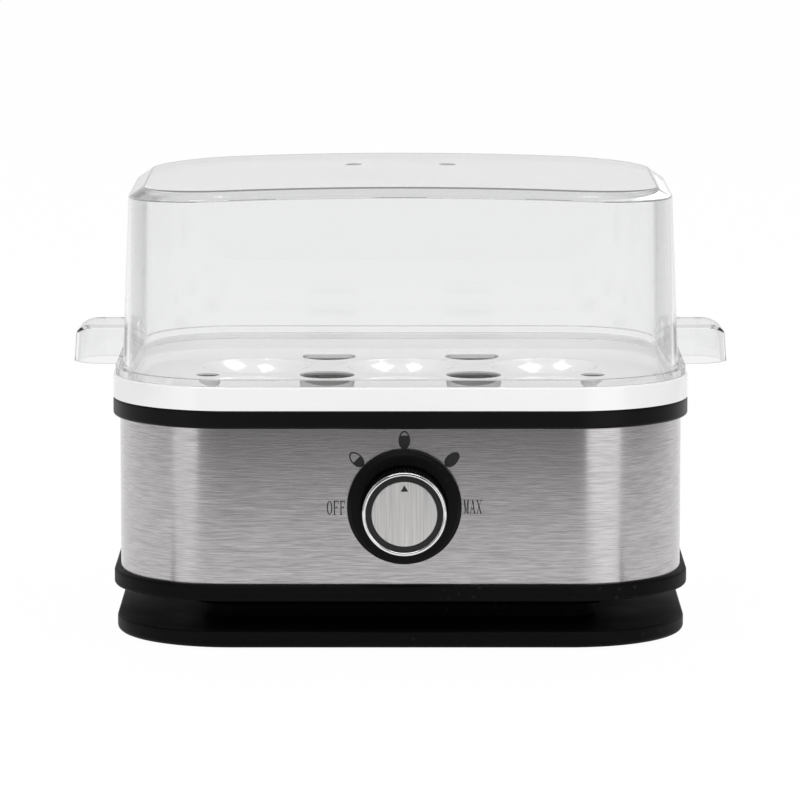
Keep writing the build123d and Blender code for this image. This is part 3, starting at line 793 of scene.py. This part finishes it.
    def egg(self, name, turn, level, sizes, ink):
        """An egg's outline, filled up to a level."""
        bm = bmesh.new()
        scale = Matrix.Diagonal((sizes.egg_width, sizes.egg_height, 1, 1))
        oval = bmesh.ops.create_circle(bm, cap_ends=True, segments=64, radius=0.5, matrix=scale)["verts"]
        for v in oval:
            v.co.x *= 1.0 - self.egg_taper * v.co.y / sizes.egg_height
        if level < 1.0:
            inside = unique(f for v in oval for f in v.link_faces)
            bmesh.ops.inset_region(bm, faces=inside, thickness=sizes.egg_line, use_even_offset=True,
                                   use_boundary=True)
            cut = (level - 0.5) * sizes.egg_height
            geom = list(bm.verts) + list(bm.edges) + list(bm.faces)
            bmesh.ops.bisect_plane(bm, geom=geom, dist=1e-8, plane_co=(0, cut, 0), plane_no=(0, 1, 0))
            empty = [f for f in bm.faces if f.calc_center_median().y > cut and len(f.verts) > 8]
            bmesh.ops.delete(bm, geom=empty, context="FACES")
        lifted = bmesh.ops.extrude_face_region(bm, geom=list(bm.faces))["geom"]
        bmesh.ops.translate(bm, verts=[i for i in lifted if isinstance(i, bmesh.types.BMVert)], vec=(0, 0, sizes.ink))
        bmesh.ops.translate(bm, verts=bm.verts, vec=(0, 0, -sizes.ink / 2))
        x, z = -math.sin(turn) * sizes.mark_radius, math.cos(turn) * sizes.mark_radius
        bmesh.ops.transform(bm, matrix=self.on_front(x, z, turn, sizes), verts=bm.verts)
        close_shape(bm)
        piece_from(bm, name + "_mark", ink, "base")


class COOKER_OT_tray(CookerOperator):
    """Finishes the egg tray"""

    bl_idname = "cooker.tray"
    bl_label = "Egg tray"

    def make(self, sizes, colours, stage):
        white = moulded_finish("white_plastic", colours.white, 0.07, 0.12, grain=700.0, depth=0.004 * MM, dust=0.0)
        dress(white, "egg_tray")


class COOKER_OT_lid(CookerOperator):
    """Makes the clear lid with its handles and steam holes"""

    bl_idname = "cooker.lid"
    bl_label = "Lid"

    # Angles past which an edge of the lid is shaded sharp, and past which an edge of a handle is rounded
    sharp, crease = math.radians(12), math.radians(20)

    def make(self, sizes, colours, stage):
        clear = clear_finish("clear_plastic", colours.clear)
        lid = self.shell(sizes, clear)
        for side in (-1, 1):
            carve(lid, self.handle(sizes, side), "UNION")
        for side in (-1, 1):
            carve(lid, self.vent(sizes, side), "DIFFERENCE")
        soften(lid, self.sharp)
        weigh_normals(lid)
        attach(lid, "lid")
        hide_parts("lid")
        self.shield(lid, "left_lamp", "right_lamp")

    def shield(self, lid, *lamps):
        """Keeps mirror images of the side lamps off the lid, as a filter on the lens would."""
        hidden = bpy.data.collections.new("lid_shield")
        hidden.objects.link(lid)
        hidden.collection_objects[0].light_linking.link_state = "EXCLUDE"
        for name in lamps:
            bpy.data.objects[name].light_linking.receiver_collection = hidden

    def levels(self, sizes):
        z_flange = LID_LOW.z + sizes.spigot_drop
        return z_flange, z_flange + sizes.flange_height, LID_HIGH.z

    def lean(self, sizes, z):
        """How far the drafted wall has come in at a level."""
        return (z - self.levels(sizes)[1]) * math.tan(sizes.lid_draft)

    def dome_steps(self, sizes, depth):
        """The wall's foot, its top and the top face's edge, a depth inside the lid, which thins upwards."""
        z_wall, z_crown = self.levels(sizes)[1:]
        thin = depth * sizes.top_share
        inset, z_top = sizes.lid_inset + thin, z_crown - thin
        z_edge = z_crown - sizes.bevel_rise - sizes.edge_drop * depth / sizes.lid_wall
        edge = (inset + self.lean(sizes, z_top) + sizes.bevel_inset - thin / 2, z_top, sizes.crown)
        return (sizes.lid_inset + depth, z_wall, 0.0), (inset + self.lean(sizes, z_edge), z_edge, sizes.crown), edge

    def shell(self, sizes, clear):
        z_flange, z_wall, _ = self.levels(sizes)
        outer, inner = self.dome_steps(sizes, 0.0), self.dome_steps(sizes, sizes.lid_wall)
        spigot, bore = sizes.spigot_inset, sizes.spigot_inset + sizes.lid_wall
        steps = [outer[2], outer[1], outer[0], (sizes.flange_inset, z_wall, 0.0), (sizes.flange_inset, z_flange, 0.0),
                 (spigot, z_flange, 0.0), (spigot, LID_LOW.z, 0.0), (bore, LID_LOW.z, 0.0), (bore, z_flange, 0.0),
                 inner[0], inner[1], inner[2]]
        bm = bmesh.new()
        rings = plan_rings(bm, sizes, steps)
        cap_ring(bm, rings[0])
        cap_ring(bm, rings[-1])
        soft = [rings[0], rings[1], rings[-2], rings[-1], rings[2]]
        round_edges(bm, [e for ring in soft for e in ring], sizes.lid_round)
        crisp = [rings[3], rings[4], rings[6], rings[7]]
        round_edges(bm, [e for ring in crisp for e in ring if e.is_valid], sizes.lid_round / 2, 3)
        close_shape(bm)
        return piece_from(bm, "clear_lid", clear, None)

    def core(self, sizes):
        """A solid that fills the lid up to the middle of its wall."""
        foot, top, _ = self.dome_steps(sizes, sizes.lid_wall / 2)
        bm = bmesh.new()
        rings = plan_rings(bm, sizes, [(foot[0], LID_LOW.z - sizes.lid_wall, 0.0), foot, top])
        cap_ring(bm, rings[0])
        cap_ring(bm, rings[-1])
        close_shape(bm)
        return piece_from(bm, "lid_core", None, None)

    def bar(self, sizes, side, inset, drop):
        """A handle's form: a tapered plan with a round end, cut by a profile with a rounded tip."""
        z_flange = self.levels(sizes)[0]
        root, tip = HALF_WIDTH - sizes.plan_radius, LID_HIGH.x - inset
        half, corner = sizes.handle_depth - inset, sizes.handle_corner - inset
        low, high = z_flange - drop, z_flange + sizes.handle_height - inset
        spare = sizes.handle_round
        bm = bmesh.new()
        block(bm, (root, MID_Y - half, low), (tip, MID_Y + half, high + spare))
        ends = [e for e in bm.edges if all(v.co.x > tip - TINY for v in e.verts)]
        round_edges(bm, [e for e in ends if e.verts[0].co.z != e.verts[1].co.z], corner, 16)
        for v in bm.verts:
            middle = Vector((min(v.co.x, tip - corner), MID_Y + clamp(v.co.y - MID_Y, half - corner), v.co.z))
            v.co -= (v.co - middle).normalized() * (v.co.z - low) * math.tan(sizes.handle_taper)
        plan = piece_from(bm, "handle_plan", None, None)
        bm = bmesh.new()
        block(bm, (root - spare, MID_Y - half - spare, low - spare), (tip, MID_Y + half + spare, high))
        top = [e for e in bm.edges if all(v.co.x > tip - TINY and v.co.z > high - TINY for v in e.verts)]
        round_edges(bm, top, sizes.handle_round - inset, 12)
        carve(plan, piece_from(bm, "handle_profile", None, None), "INTERSECT")
        bm = bmesh.new()
        bm.from_mesh(plan.data)
        close_shape(bm)
        if inset == 0:
            past_root = root + spare / 9
            edges = [e for e in bm.edges if e.is_manifold and e.calc_face_angle() > self.crease]
            edges = [e for e in edges if all(v.co.z > (low + high) / 2 and v.co.x > past_root for v in e.verts)
                     or all(v.co.z > high - TINY for v in e.verts)]
            edges = [e for e in edges if not all(v.co.x < root + TINY for v in e.verts)]
            round_edges(bm, edges, sizes.handle_edge, 3)
        if side < 0:
            bmesh.ops.scale(bm, vec=(-1, 1, 1), verts=bm.verts)
        close_shape(bm)
        bm.to_mesh(plan.data)
        bm.free()
        return plan

    def handle(self, sizes, side):
        """A handle that is open below and ends inside the lid's wall."""
        handle = self.bar(sizes, side, 0.0, 0.0)
        carve(handle, self.bar(sizes, side, sizes.handle_wall, 2 * sizes.handle_wall), "DIFFERENCE")
        carve(handle, self.core(sizes), "DIFFERENCE")
        return handle

    def vent(self, sizes, side):
        bm = bmesh.new()
        place = Matrix.Translation((side * sizes.vent_x, MID_Y + sizes.vent_y, LID_HIGH.z))
        bmesh.ops.create_cone(bm, cap_ends=True, segments=48, radius1=sizes.vent_radius, radius2=sizes.vent_radius,
                              depth=4 * sizes.lid_wall, matrix=place)
        return piece_from(bm, "vent", None, None)


class COOKER_PT_panel(bpy.types.Panel):
    """Lists the steps that make the egg cooker"""

    bl_label = "Egg Cooker"
    bl_space_type = "VIEW_3D"
    bl_region_type = "UI"
    bl_category = "Egg Cooker"

    def draw(self, context):
        for operator in OPERATORS:
            self.layout.operator(operator.bl_idname)


OPERATORS = (COOKER_OT_stage, COOKER_OT_body, COOKER_OT_knob, COOKER_OT_prints, COOKER_OT_tray, COOKER_OT_lid)
GROUPS = {"cooker_sizes": CookerSizes, "cooker_colours": CookerColours, "cooker_stage": CookerStage}


def register():
    for made in (*GROUPS.values(), *OPERATORS, COOKER_PT_panel):
        bpy.utils.register_class(made)
    for name, group in GROUPS.items():
        setattr(bpy.types.Scene, name, PointerProperty(type=group))


def unregister():
    for name in GROUPS:
        delattr(bpy.types.Scene, name)
    for made in (COOKER_PT_panel, *reversed(OPERATORS), *GROUPS.values()):
        bpy.utils.unregister_class(made)


def main():
    register()
    bpy.ops.cooker.stage()
    bpy.ops.cooker.body()
    bpy.ops.cooker.knob()
    bpy.ops.cooker.prints()
    bpy.ops.cooker.tray()
    bpy.ops.cooker.lid()


if __name__ == "__main__":
    main()
